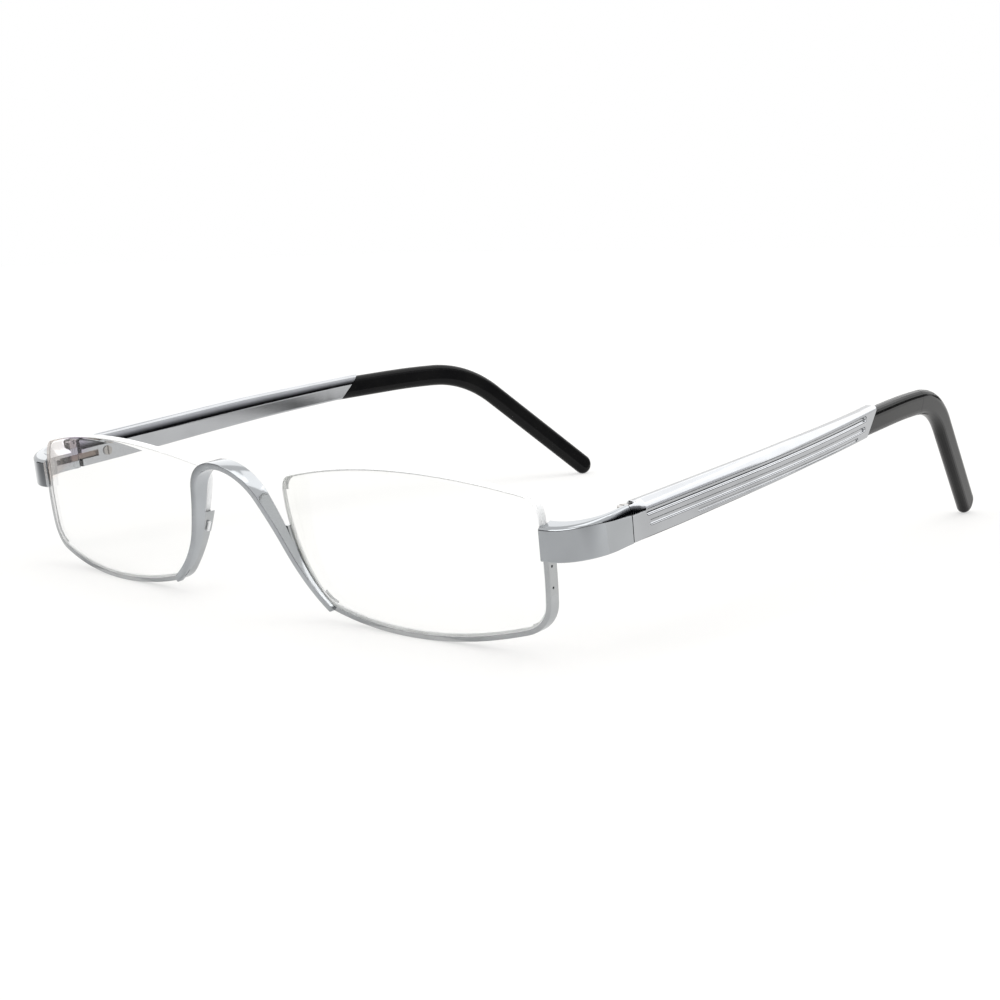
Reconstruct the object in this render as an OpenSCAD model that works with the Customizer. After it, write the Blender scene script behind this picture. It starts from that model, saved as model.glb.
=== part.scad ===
// Half-rim reading glasses. X is across the face, with the near side of the photograph at +X.
// The glasses face -Y and stand on the table, Z = 0, on the two rims and the two temple tips.
// They are drawn in a frame of their own, which leans back when they stand: y runs back along the arms
// and z up the lenses. Each side is built for +X and mirrored.

/* [Stance] */
// How far the glasses lean when they stand, in degrees
stand_lean = 6; // [4:0.5:8]

/* [Bridge] */
// Highest point of the bridge above the rims' lowest point
bridge_top = 24.6; // [23:0.1:26]
// Radius of the crown of the bridge, on its upper face
crown_r = 9; // [8.5:0.1:9.5]
// Angle of the crown's ends above level, where the legs start
crown_end_a = 25; // [22:1:28]
// Length of the straight part of a leg
leg_straight = 8.8; // [8:0.1:9.5]
// Radius of the lower part of a leg, on the face towards the lens
leg_r = 28.6; // [27:0.1:30]
// Angle through which the lower part turns
leg_turn = 21.5; // [20:0.5:24]
// Thickness of the bridge strip
bridge_t = 1.15; // [0.9:0.05:1.4]
// Radius of the bridge's front edge, seen from the side
bridge_front_r = 70; // [55:1:100]
// How far the back edge of the legs lies behind the front of the lenses
bridge_back = 1.22; // [1:0.02:1.4]
// Radius of the bridge's back edge, seen from the side
bridge_back_r = 103; // [90:1:150]
// Height at which the back edge starts to lean forward
bridge_back_z = 3; // [0:0.5:5]

/* [Lenses] */
// Distance between the two lenses, at its smallest
lens_gap = 18.3; // [17.5:0.1:19.5]
// Width of one lens
lens_w = 50.2; // [48:0.1:52]
// Height of one lens
lens_h = 24.3; // [22:0.1:26]
// Thickness of a lens
lens_t = 1.6; // [1.4:0.1:2]
// Distance from the nose edge of the lens to its lowest point
lens_low = 27.3; // [26:0.1:29]
// Distance from the nose edge of the lens to its highest point
lens_high = 25.4; // [23:0.1:27]
// Radii of the edges: lower, outer, upper, nose
edge_r = [76, 60, 98, 28.7];
// Height of the middle of the outer edge
lens_out_z = 12.5; // [11:0.5:14]
// Height of the middle of the nose edge
lens_nose_z = 23.6; // [23:0.1:24]
// Corner radii: low outer, top outer, top nose, low nose
corner_r = [4.5, 3.5, 2.3, 5.5];
// Radius of the front face of the lens
curve_r = 128; // [115:1:180]
// Distance from the nose edge to the middle of that curve
curve_x = 17.8; // [16:0.2:20]
// Height of the middle of that curve
curve_z = 12; // [10:0.5:14]
// Depth of the groove round the lens edge
groove_d = 0.4; // [0.3:0.05:0.45]
// Width of the groove
groove_w = 0.56; // [0.5:0.02:0.7]

/* [Rims] */
// Width of the rim, seen from the front
rim_w = 0.75; // [0.65:0.05:1]
// Depth of the rim from front to back
rim_d = 1.6; // [1.4:0.1:2]
// Height of the rim's end on the nose side
rim_nose_z = 14.4; // [13.5:0.1:15.5]
// Height of the rim's end inside the endpiece
rim_out_z = 17; // [16:0.1:17.2]
// Height of the block that holds the thread
block_h = 3.6; // [3.4:0.1:4.5]
// How far the block stands out towards the nose
block_out = 0.12; // [0.05:0.01:0.3]
// How far the block stands forward to meet the bridge
block_front = 0.45; // [0.3:0.05:0.6]
// Distance from the end of the rim to the upper thread hole
hole_drop = 1.85; // [1:0.05:1.9]
// Distance between the two thread holes
hole_pitch = 1.3; // [1.2:0.1:1.6]
// Diameter of the nylon thread
thread_d = 0.5; // [0.4:0.02:0.5]
// Clearance round the thread and the rim liner
thread_fit = 0.02; // [0.01:0.01:0.05]

/* [Endpieces] */
// How far an endpiece covers the edge of the lens
lens_cover = 0; // [0:0.05:0.3]
// Outer radius of the endpiece's corner, seen from above
end_r = 7.4; // [6.5:0.1:8.5]
// Straight length of the endpiece's front, before the corner
end_front = 0.9; // [0.5:0.1:1.5]
// Straight length of the endpiece in front of the hinge pin
end_straight = 3.65; // [3:0.05:5]
// Thickness of the wall in front of the rim
end_wall = 0.7; // [0.6:0.05:1]
// Height of the middle of the arm at the hinge
hinge_z = 17.1; // [16.6:0.1:17.6]
// How much lower the top of the endpiece is at its front end
end_top_fall = 1.4; // [0.6:0.1:2]
// How much lower the underside of the endpiece is at its front end
end_low_fall = 0.8; // [0.4:0.1:1]
// Distance from the hinge pin forward to the arm's outer front end
split_front = 0.7; // [0.5:0.1:0.8]
// Gap between the endpiece and the arm
split_gap = 0.15; // [0.1:0.05:0.3]

/* [Hinges] */
// Diameter of the hinge screw
pin_d = 1.2; // [1:0.1:1.3]
// Diameter of the hinge screw's head
pin_head_d = 2.2; // [1.8:0.1:2.2]
// Height of the hinge screw's head
pin_head_h = 1.2; // [0.8:0.1:1.3]
// Radial clearance of the slider on the screw
pin_fit = 0.03; // [0.02:0.01:0.05]
// Radius of the ears round the pin
ear_r = 1.2; // [1.15:0.05:1.2]
// Radius of the slider's knuckle
knuckle_r = 1.1; // [1:0.05:1.1]
// Thickness of the slider's tongue
tongue_t = 1.1; // [0.9:0.05:1.2]
// Width of the slider's tongue
tongue_w = 1.5; // [1.2:0.1:1.5]
// Height of the tongue's middle below the middle of the arm
tongue_drop = 0.7; // [0.6:0.1:0.8]
// Clearance of the tongue in its slots
slot_fit = 0.05; // [0.03:0.01:0.06]
// Travel of the spring hinge
flex_travel = 0.9; // [0.6:0.1:1.1]
// Distance from the pin to the stop screw
stop_s = 6.9; // [6.5:0.1:7.5]
// Length of the stop block
stop_len = 1.6; // [1.4:0.1:1.8]
// Diameter of the slider's rod
rod_d = 0.6; // [0.5:0.05:0.65]
// Wire of the hinge spring
wire_d = 0.18; // [0.14:0.02:0.2]
// Length of the hinge spring
spring_len = 4; // [3:0.1:5]
// Length of the rod nut
nut_len = 0.6; // [0.4:0.1:0.8]
// Diameter of the stop screw's head
stop_head_d = 1.8; // [1.4:0.1:1.9]

/* [Temples] */
// Thickness of the arm
arm_t = 3; // [2.9:0.05:3.4]
// Distance from the pin to the arm's inner face
pin_in = 1.2; // [1.2:0.05:1.3]
// Top of the arm above its middle
arm_up = 2.75; // [2.6:0.05:3]
// Underside of the arm below its middle, at the hinge
arm_down = 2.7; // [2.6:0.05:3]
// Underside of the arm below its middle, at the tip
arm_down_back = 2.2; // [2.1:0.05:2.6]
// How much lower the arm's top is at the tip, and the length over which it falls
arm_top_fall = 0.5; // [0:0.1:0.7]
arm_fall_len = 30; // [20:1:40]
// Height on the inner face at which its upper slope starts
slope_low = 0.5; // [0.3:0.1:1]
// Distance from the arm's outer face to the top of its inner slope
arm_top_w = 1.1; // [0.9:0.1:1.5]
// Radius of the arm's upper outer edge
arm_edge_r = 0.7; // [0.4:0.1:0.8]
// Straight length of the arm
arm_straight = 27.5; // [24:0.5:35]
// Radius of the arm's inward curve
arm_r = 328; // [280:4:380]
// Angle of the arm's inward curve
arm_turn = 7.6; // [6.5:0.1:8]
// Heights of the three long grooves on the outer face
flute_h = [1.0, -0.6, -1.7];
// Start of each groove, from the pin
flute_start = [2.4, 3, 14.4];
// End of each groove, before the end of the arm's curve
flute_stop = [4.9, 5.6, 8.6];
// Width of each groove
flute_w = [0.95, 0.8, 0.5];
// Depth of a groove
flute_d = 0.35; // [0.2:0.05:0.4]

/* [Tips] */
// Height of the temple tip's section
tip_w = 4.6; // [4:0.1:5]
// Thickness of the temple tip
tip_t = 2.6; // [2.2:0.1:2.9]
// Fall of the tip at its start, in degrees from the arm
tip_fall = 2.5; // [0:0.5:4]
// Straight length at the start of the tip
tip_lead = 9.5; // [8:0.5:12]
// Radius of the slow curve before the bend
sweep_r = 200; // [150:10:260]
// Angle of the slow curve
sweep_a = 3.5; // [2:0.5:5]
// Radius of the bend behind the ear
bend_r = 27; // [22:1:30]
// Angle of that bend
bend_a = 37.5; // [34:0.5:42]
// Inward lean of the tip, in degrees
tip_lean = 10.5; // [6:0.5:12]
// Height of the tip's middle below the middle of the arm, at its start
tip_low = 0.35; // [0.2:0.05:0.5]
// Distance of the joint between arm and tip in front of the tip's start
joint_back = 2.4; // [1:0.1:3]
// Length over which that joint slants
joint_slant = 5.6; // [4:0.1:7]
// Diameter of the core wire
core_d = 1.3; // [1:0.1:1.5]
// Length of the core on the arm's side of the tip's start
core_in = 7; // [5:0.5:8]
// Solid length of the tip beyond the core
core_short = 5; // [4:0.5:10]

/* [Hidden] */
$fn = 48;
big = 60;
past = 1;
arc_step = 1.5;
arc_turn = 8;
curve_fn = 360;

// Bridge: the circle of the crown, and that of each leg's lower part
crown_c = [0, bridge_top - crown_r];
join_dir = [cos(crown_end_a), sin(crown_end_a)];
leg_c = crown_c + (crown_r + leg_r) * join_dir + leg_straight * [join_dir.y, -join_dir.x];
foot_a = 180 + crown_end_a + leg_turn;

// Lens: four discs whose overlap is the outline, in order from the lower edge towards the outer one
nose_x = lens_gap / 2;
lens_out_x = nose_x + lens_w;
lens_low_x = nose_x + lens_low;
curve_mid = [nose_x + curve_x, curve_z];
disc_r = edge_r;
disc_c = [
    [lens_low_x, rim_w + disc_r[0]],
    [lens_out_x - disc_r[1], lens_out_z],
    [nose_x + lens_high, rim_w + lens_h - disc_r[2]],
    [nose_x + disc_r[3], lens_nose_z],
];
groove_in = (rim_d - groove_w) / 2;

// Endpiece and hinge. The front's y = 0 is the foremost point of the lens curve
end_c_x = lens_out_x - lens_cover + end_front;
hinge_y = front_y(lens_out_x, hinge_z) - end_wall + end_r + end_straight;
pin_out = arm_t - pin_in;
pin_x = end_c_x + end_r - pin_out;
end_len = end_r + end_straight;
seat_rise = 0.7;
seat_h = slope_low + seat_rise;
pin_floor = 0.4;
driver_w = 0.3;
driver_deep = 0.4;

// Tongue, rod and spring in the arm's pocket
tongue_lo = -tongue_drop - tongue_t / 2;
tongue_shift = 0.15;
tongue_x = (pin_out - pin_in) / 2 - tongue_shift;
stop_front = stop_s - stop_len / 2;
stop_back = stop_s + stop_len / 2;
rod_start = stop_front - 2 * slot_fit;
spring_start = stop_back + flex_travel + 2 * slot_fit;
nut_start = spring_start + spring_len;
rod_end = nut_start + nut_len;
pocket_end = rod_end + 1;
slot_front = 4.1;
slot_open = 4.9;
spring_r = tongue_t / 2 - wire_d / 2;
spring_turns = 9;

// Standing: how far the leaning glasses are raised, so that the lowest point of the rims is on the table
rest_r = edge_r[0] + rim_w;
rest_x = (lens_low_x * curve_r + curve_mid.x * rest_r * tan(stand_lean))
    / (curve_r + rest_r * tan(stand_lean));
rest_z = rest_r - sqrt(pow(rest_r, 2) - pow(rest_x - lens_low_x, 2));
lift = -stand(front_y(rest_x, rest_z), rest_z).y;

// Tip: places along its centre line, then the length of its last run, which ends on the table
arm_mid_r = arm_r - arm_t / 2;
tip_start = [pin_out - arm_r + arm_mid_r * cos(arm_turn), arm_straight + arm_mid_r * sin(arm_turn), -tip_low];
a1 = tip_fall;
a2 = a1 + sweep_a;
a3 = a2 + bend_a;
drop_u = tip_lead * cos(a1) + sweep_r * (sin(a2) - sin(a1)) + bend_r * (sin(a3) - sin(a2));
drop_h = -tip_lead * sin(a1) - sweep_r * (cos(a1) - cos(a2)) - bend_r * (cos(a2) - cos(a3));
along = [cos(arm_turn) * cos(stand_lean), cos(arm_turn) * sin(stand_lean)];
up = stand(sin(tip_lean) * sin(arm_turn), cos(tip_lean));
cap_r = (tip_w - tip_t) / 2;
cap_z = cap_r * norm([along.y, up.y]) + tip_t / 2;
start = stand(hinge_y + tip_start.y, hinge_z + tip_start.z);
drop_top = start.y + lift + drop_u * along.y + drop_h * up.y;
drop_len = (drop_top - cap_z) / (sin(a3) * up.y - cos(a3) * along.y);
tip_end = start + (drop_u + drop_len * cos(a3)) * along + (drop_h - drop_len * sin(a3)) * up;

// Y = 0 is halfway from the bridge's front to the tips' back
bridge_front = -bridge_front_r + sqrt(pow(bridge_front_r, 2) - pow(bridge_top, 2));
front_end = stand(bridge_front, bridge_top).x;
back_end = tip_end.x + cap_r * norm([along.x, up.x]) + tip_t / 2;
mid_y = (front_end + back_end) / 2;

// Where a point of the leaning frame comes to when the glasses stand: its distance back and its height
function stand(y, z) = [
    y * cos(stand_lean) - z * sin(stand_lean),
    y * sin(stand_lean) + z * cos(stand_lean),
];

function ang(v) = atan2(v.y, v.x);
function unit(a) = [cos(a), sin(a)];
function ccw(a0, a1) = a1 < a0 ? a1 + 360 : a1;
function arc_pts(c, r, a0, a1) = let (
    b = ccw(a0, a1),
    n = ceil(max((b - a0) * PI / 180 * r / arc_step, (b - a0) / arc_turn))
) [for (i = [0:n]) let (a = a0 + (b - a0) * i / n) c + r * [cos(a), sin(a)]];

// Centre of the corner circle of radius f that touches discs i and i + 1 from inside
function corner_c(i) = let (
    j = (i + 1) % 4,
    f = corner_r[i],
    q1 = disc_r[i] - f,
    q2 = disc_r[j] - f,
    d = norm(disc_c[j] - disc_c[i]),
    e = (disc_c[j] - disc_c[i]) / d,
    along = (q1 * q1 - q2 * q2 + d * d) / (2 * d)
) disc_c[i] + along * e + sqrt(q1 * q1 - along * along) * [-e.y, e.x];

// The lens outline, grown outwards by g
function lens_edge(g) = [for (i = [0:3]) let (
    before = corner_c((i + 3) % 4),
    after = corner_c(i),
    c = disc_c[i],
    n = disc_c[(i + 1) % 4]
) each concat(
    arc_pts(c, disc_r[i] + g, ang(before - c), ang(after - c)),
    arc_pts(after, corner_r[i] + g, ang(after - c), ang(after - n))
)];

// Distance of the front face of the lens behind its foremost point
function front_y(x, z) = curve_r - sqrt(pow(curve_r, 2) - pow(x - curve_mid.x, 2) - pow(z - curve_mid.y, 2));

module steel(c = "silver") color(c) children();

module both_frame() translate([0, -mid_y, lift]) rotate([stand_lean, 0, 0]) children();

module side(s) {
    if (s > 0) both_frame() children();
    else mirror([1, 0, 0]) both_frame() children();
}

module at_hinge() translate([pin_x, hinge_y, hinge_z]) children();

// A shape drawn in X and Z, extruded through the front
module through_y() translate([0, big / 2, 0]) rotate([90, 0, 0]) linear_extrude(big) children();

// A shape drawn in Y and Z, extruded across x
module through_x(w = big) translate([-w / 2, 0, 0]) rotate([90, 0, 90]) linear_extrude(w) children();

module lens_block(g) through_y() polygon(lens_edge(g));

// The layer of the front between two depths behind the rim's front face
module curved_layer(depth, t) {
    translate([curve_mid.x, curve_r, curve_mid.y]) difference() {
        sphere(r = curve_r - depth, $fn = curve_fn);
        sphere(r = curve_r - depth - t, $fn = curve_fn);
    }
}

// A band that follows the lens edge, between two distances from it
module edge_band(g0, g1, depth, t) {
    difference() {
        intersection() {
            lens_block(g1);
            curved_layer(depth, t);
        }
        lens_block(g0);
    }
}

// What lies below one height on the nose side and below another on the outer side
module below(nose_z, out_z) {
    through_y() {
        translate([lens_low_x - big, nose_z - big]) square(big);
        translate([lens_low_x, out_z - big]) square(big);
    }
}

module lens() {
    color([0.86, 0.93, 0.92, 0.35]) difference() {
        intersection() {
            lens_block(0);
            curved_layer(0, lens_t);
        }
        edge_band(-groove_d, past, groove_in, groove_w);
    }
}

hole_z = [rim_nose_z - hole_drop, rim_nose_z - hole_drop - hole_pitch];
function nose_edge(z) = disc_c[3].x - sqrt(pow(disc_r[3], 2) - pow(disc_c[3].y - z, 2));
function out_edge(z) = disc_c[1].x + sqrt(pow(disc_r[1], 2) - pow(disc_c[1].y - z, 2));
function groove_y(x, z) = front_y(x, z) + rim_d / 2;
block_in = rim_w + block_out;

// Places of the thread holes, on the lens edge
hole_p = [for (z = hole_z) [nose_edge(z), groove_y(nose_edge(z), z), z]];

module rim() {
    steel() difference() {
        union() {
            intersection() {
                edge_band(0, rim_w, 0, rim_d);
                below(rim_nose_z, rim_out_z);
            }
            block();
        }
        edge_band(-past, groove_d, groove_in, groove_w);
        for (p = hole_p) translate([p.x - block_in - past, p.y, p.z]) rotate([0, 90, 0])
            cylinder(d = thread_d + 2 * thread_fit, h = block_in + past + groove_d / 2);
        for (z = leg_hole_z) translate([out_edge(z) + rim_w - leg_hole_deep, groove_y(out_edge(z), z), z])
            rotate([0, 90, 0]) cylinder(d = leg_hole_d, h = past);
    }
}

leg_hole_z = [9.6, 12.7];
leg_hole_d = 0.4;
leg_hole_deep = 0.25;

block_reach = 5;

// The block at the rim's nose end, deep enough to meet the bridge
module block() {
    intersection() {
        edge_band(0, block_in, -block_front, rim_d + block_front);
        translate([0, -big / 2, rim_nose_z - block_h]) cube([nose_x + block_reach, big, block_h]);
    }
}

liner_clear = 0.6;
liner_short = 1.5;
liner_nose_z = hole_z[1] - liner_clear;
liner_out_z = rim_out_z - liner_short;

module rim_liner() {
    color([0.93, 0.94, 0.92]) intersection() {
        edge_band(-groove_d + thread_fit, groove_d - thread_fit, groove_in + thread_fit,
            groove_w - 2 * thread_fit);
        below(liner_nose_z, liner_out_z);
    }
}

knot_d = 0.7;
knot_drop = 0.4;
knot_z = hinge_z + arm_up - end_top_fall - knot_drop;
loop_clear = 0.07;
thread_loop = thread_d / 2 + loop_clear;
thread_end_drop = 1;

module lens_thread() {
    loop_p = [for (p = hole_p) p - [block_in + thread_loop, 0, 0]];
    knot_x = out_edge(knot_z) + knot_d / 2 + thread_fit;
    color([0.9, 0.93, 0.93, 0.6]) {
        difference() {
            edge_band(thread_fit - groove_d, thread_fit - groove_d + thread_d, (rim_d - thread_d) / 2, thread_d);
            below(liner_nose_z, rim_out_z - thread_end_drop);
        }
        for (p = loop_p) {
            translate(p) sphere(d = thread_d + 2 * hair);
            translate(p) rotate([0, 90, 0]) cylinder(d = thread_d, h = block_in + thread_loop);
        }
        between(loop_p[0], loop_p[1]) cylinder(d = thread_d, h = norm(loop_p[1] - loop_p[0]));
        translate([knot_x, groove_y(knot_x, knot_z), knot_z]) sphere(d = knot_d);
    }
}

// Turns Z to run from one point to another
module between(p, q) {
    v = q - p;
    translate(p) rotate([0, acos(v.z / norm(v)), atan2(v.y, v.x)]) children();
}

// The bridge's side outline: between the circles of its front and back edges
module crescent() {
    intersection() {
        translate([bridge_back - bridge_back_r, bridge_back_z]) circle(r = bridge_back_r, $fn = curve_fn);
        difference() {
            translate([-bridge_back_r / 2, -big / 2]) square([bridge_back_r, big]);
            translate([-bridge_front_r, 0]) circle(r = bridge_front_r, $fn = curve_fn);
        }
    }
}

// One face of the bridge strip from the front, d inside its outer face: leg, crown and the other leg
function rev(l) = [for (i = [len(l) - 1:-1:0]) l[i]];
function arch_half(d) = concat(
    rev(arc_pts(leg_c, leg_r + d, 180 + crown_end_a, foot_a)),
    arc_pts(crown_c, crown_r - d, crown_end_a, 90)
);
function arch_face(d) = concat(arch_half(d), [for (p = rev(arch_half(d))) if (p.x > 0.01) [-p.x, p.y]]);

module bridge() {
    steel() both_frame() difference() {
        intersection() {
            through_y() polygon(concat(arch_face(0), rev(arch_face(bridge_t))));
            through_x() crescent();
        }
        for (m = [0, 1]) mirror([m, 0, 0]) {
            intersection() {
                lens_block(rim_w);
                translate([curve_mid.x, curve_r, curve_mid.y]) sphere(r = curve_r, $fn = curve_fn);
                below(rim_nose_z, rim_nose_z);
            }
            block();
        }
    }
}

// Section of the arm, x outward and y up, with its upper outer edge rounded
low_c = 0.3;
module arm_section() {
    edge = [for (a = [0:15:90]) [pin_out - arm_edge_r, arm_up - arm_edge_r] + arm_edge_r * unit(a)];
    polygon(concat(
        [[-pin_in, -arm_down + low_c], [-pin_in + low_c, -arm_down]],
        [[pin_out - low_c, -arm_down], [pin_out, -arm_down + low_c]],
        edge,
        [[pin_out - arm_top_w, arm_up], [-pin_in, slope_low]]
    ));
}

module upright(len) translate([0, len, 0]) rotate([90, 0, 0]) linear_extrude(len) children();

// The endpiece's cover over the hinge: a straight part, a quarter turn and the straight front. Its top and
// its underside curve down towards the front
module end_body() {
    intersection() {
        union() {
            translate([0, -end_straight, 0]) upright(end_straight) arm_section_tall();
            translate([pin_out - end_r, -end_straight, 0]) rotate([0, 0, -90]) rotate_extrude(angle = 90)
                translate([end_r - pin_out, 0]) arm_section_tall();
            translate([pin_out - end_r, -end_straight, 0]) rotate([0, 0, -90])
                translate([end_r - pin_out, -end_front, 0]) upright(end_front) arm_section_tall();
        }
        through_x() polygon(concat(
            [for (q = [0:0.1:1.1]) [-end_len * q, -arm_down - end_low_fall * q * q]],
            [for (q = [1.1:-0.1:0]) [-end_len * q, arm_up - end_top_fall * q * q]],
            [[past, arm_up], [past, -arm_down]]
        ));
    }
}

// The arm's section, carried on downwards for the endpiece to be cut from
module arm_section_tall() {
    arm_section();
    translate([-pin_in, -arm_down - end_low_fall - past])
        square([arm_t, arm_down + end_low_fall + past]);
}

module endpiece() {
    slot_h = tongue_t + 2 * slot_fit;
    steel() difference() {
        at_hinge() difference() {
            union() {
                difference() {
                    end_body();
                    translate([0, -split_front - split_gap, -big / 2]) cube(big);
                }
                intersection() {
                    translate([0, 0, -arm_down]) cylinder(r = ear_r, h = arm_down + seat_h);
                    translate([-pin_in, -big / 2, -big / 2]) cube(big);
                }
            }
            translate([0, 0, seat_h]) cylinder(r = ear_r + slot_fit, h = big);
            translate([0, 0, -arm_down + pin_floor]) cylinder(d = pin_d, h = big);
            translate([-pin_in - past, -slot_front, tongue_lo - slot_fit])
                cube([pin_in + past + knuckle_r + slot_fit, slot_front + big, slot_h]);
            translate([-big / 2, -split_front - split_gap, tongue_lo - slot_fit]) cube([big, big, slot_h]);
        }
        intersection() {
            lens_block(rim_w + thread_fit);
            curved_layer(-thread_fit, rim_d + past);
        }
    }
}

module hinge_screw() {
    steel("lightgray") at_hinge() difference() {
        union() {
            translate([0, 0, -arm_down + pin_floor])
                cylinder(d = pin_d, h = arm_down - pin_floor + seat_h + pin_head_h / 2);
            translate([0, 0, seat_h]) cylinder(d = pin_head_d, h = pin_head_h);
        }
        translate([-big / 2, -driver_w / 2, seat_h + pin_head_h - driver_deep]) cube([big, driver_w, big]);
    }
}

module hinge_slider() {
    rod_c = [tongue_x, rod_start, -tongue_drop];
    steel("gray") at_hinge() {
        difference() {
            union() {
                translate([0, 0, tongue_lo]) cylinder(r = knuckle_r, h = tongue_t);
                translate([tongue_x - tongue_w / 2, 0, tongue_lo]) cube([tongue_w, rod_start, tongue_t]);
            }
            translate([0, 0, tongue_lo - past]) cylinder(d = pin_d + 2 * pin_fit, h = tongue_t + 2 * past);
        }
        translate(rod_c) rotate([-90, 0, 0]) cylinder(d = rod_d, h = rod_end - rod_start);
    }
}

// One ring of the coil, at turn k
function coil_ring(k) = let (
    a = 360 * k,
    c = [spring_r * cos(a), spring_r * sin(a), wire_d / 2 + k / spring_turns * (spring_len - wire_d)]
) [for (b = [0:60:300]) c + wire_d / 2 * [cos(b) * cos(a), cos(b) * sin(a), sin(b)]];

module hinge_spring() {
    steps = 12;
    rings = [for (i = [0:spring_turns * steps]) coil_ring(i / steps)];
    n = len(rings);
    wall = [for (i = [0:n - 2]) for (j = [0:5]) let (a = i * 6 + j, b = i * 6 + (j + 1) % 6)
        each [[a, b, b + 6], [a, b + 6, a + 6]]];
    ends = [for (j = [1:4]) each [[0, j + 1, j], [6 * n - 6, 6 * n - 6 + j, 6 * n - 6 + j + 1]]];
    color("dimgray") at_hinge() translate([tongue_x, spring_start, -tongue_drop]) rotate([-90, 0, 0])
        polyhedron(points = [for (r = rings) each r], faces = concat(wall, ends));
}

module rod_nut() {
    steel("gray") at_hinge() translate([tongue_x, nut_start, -tongue_drop]) rotate([-90, 0, 0]) difference() {
        cylinder(d = tongue_t, h = nut_len);
        translate([0, 0, -past]) cylinder(d = rod_d, h = nut_len + 2 * past);
    }
}

module hinge_stop() {
    steel("gray") at_hinge() difference() {
        translate([tongue_x - tongue_w / 2, stop_front, tongue_lo]) cube([tongue_w, stop_len, tongue_t]);
        translate([tongue_x, stop_front - past, -tongue_drop]) rotate([-90, 0, 0])
            cylinder(d = rod_d + 2 * slot_fit, h = stop_len + 2 * past);
    }
}

stop_seat = 0.25;
stop_proud = 0.25;
stop_shank_d = 0.9;

module stop_screw() {
    steel("lightgray") at_hinge() translate([-pin_in + stop_seat, stop_s, -tongue_drop]) difference() {
        union() {
            rotate([0, 90, 0]) cylinder(d = stop_shank_d, h = tongue_x - tongue_w / 2 + pin_in - stop_seat);
            rotate([0, -90, 0]) cylinder(d = stop_head_d, h = stop_seat + stop_proud);
        }
        translate([-big - stop_seat, -driver_w / 2, -big / 2]) cube([big, driver_w, big]);
    }
}

// The bare arm with its section swept along the straight part and the curve
module arm_sweep() {
    translate([0, -split_front, 0]) upright(arm_straight + split_front) arm_section();
    translate([pin_out - arm_r, arm_straight, 0]) rotate_extrude(angle = arm_turn + 1.5, $fn = curve_fn)
        translate([arm_r - pin_out, 0]) arm_section();
}

// What the arm's end keeps: everything in front of the slanted joint with the tip
module before_joint() {
    through_x(big * 2) polygon([
        [-big, -big / 2], [joint_s(-big / 2), -big / 2], [joint_s(big / 2), big / 2], [-big, big / 2],
    ]);
}

function joint_s(h) = tip_start.y - joint_back + h * joint_slant / (arm_up + arm_down_back);

module flute(i) {
    c = [pin_out - arm_r, arm_straight];
    a_end = arm_turn - flute_stop[i] / arm_r * 180 / PI;
    floor_r = arm_r - flute_d;
    translate([pin_out - flute_d, flute_start[i], flute_h[i] - flute_w[i] / 2])
        cube([big, arm_straight - flute_start[i], flute_w[i]]);
    translate([pin_out - flute_d, flute_start[i], flute_h[i]]) rotate([0, 90, 0])
        cylinder(d = flute_w[i], h = big, $fn = 24);
    translate([c.x, c.y, 0]) {
        rotate_extrude(angle = a_end, $fn = curve_fn)
            translate([floor_r, flute_h[i] - flute_w[i] / 2]) square([past, flute_w[i]]);
        rotate([0, 0, a_end]) translate([floor_r, 0, flute_h[i]]) rotate([0, 90, 0])
            cylinder(d = flute_w[i], h = past, $fn = 24);
    }
}

// Where the arm's underside starts and stops rising
low_taper = [10, 45];

module temple() {
    slot_h = tongue_t + 2 * slot_fit;
    slot_w = tongue_w + 2 * slot_fit;
    steel() at_hinge() difference() {
        intersection() {
            arm_sweep();
            before_joint();
        }
        translate([-big, -past, -big / 2]) cube([big, past + ear_r + 2 * slot_fit, big]);
        translate([0, 0, -big / 2]) cylinder(r = ear_r + slot_fit, h = big);
        translate([-ear_r - slot_fit, -flex_travel, -big / 2])
            cube([2 * (ear_r + slot_fit), flex_travel, big]);
        translate([tongue_x - slot_w / 2, 0, tongue_lo - slot_fit]) cube([slot_w, pocket_end, slot_h]);
        translate([-pin_in - past, 0, tongue_lo - slot_fit]) cube([pin_in + past, slot_open, slot_h]);
        translate([-pin_in - past, stop_s, -tongue_drop]) rotate([0, 90, 0]) {
            cylinder(d = stop_shank_d, h = pin_in + past);
            cylinder(d = stop_head_d, h = stop_seat + past);
        }
        for (i = [0:len(flute_h) - 1]) flute(i);
        through_x() polygon([
            [low_taper[0], -arm_down], [low_taper[1], -arm_down_back], [2 * big, -arm_down_back],
            [2 * big, -big], [low_taper[0], -big],
        ]);
        through_x() polygon([
            [tip_start.y - arm_fall_len, arm_up], [tip_start.y - arm_fall_len, big],
            [tip_start.y + arm_fall_len, big], [tip_start.y + arm_fall_len, arm_up - 2 * arm_top_fall],
        ]);
        tip_path(core_d, core_d, core_in, 0);
    }
}

// A section w high and t thick with round edges, x up and y across; the half of it is for the round end
function round_edge(c, t, a0, a1) = [for (i = [0:edge_steps]) let (a = a0 + (a1 - a0) * i / edge_steps)
    [c + t / 2 * cos(a), t / 2 * sin(a)]];
module stadium(w, t) {
    low = [for (p = round_edge(-(w - t) / 2, t, 90, 270)) if (w > t || abs(p.x) > 0.001) p];
    polygon(concat(round_edge((w - t) / 2, t, -90, 90), low));
}
module half_stadium(w, t) polygon(concat([[0, -t / 2]], round_edge((w - t) / 2, t, -90, 90), [[0, t / 2]]));
edge_steps = 10;

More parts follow.
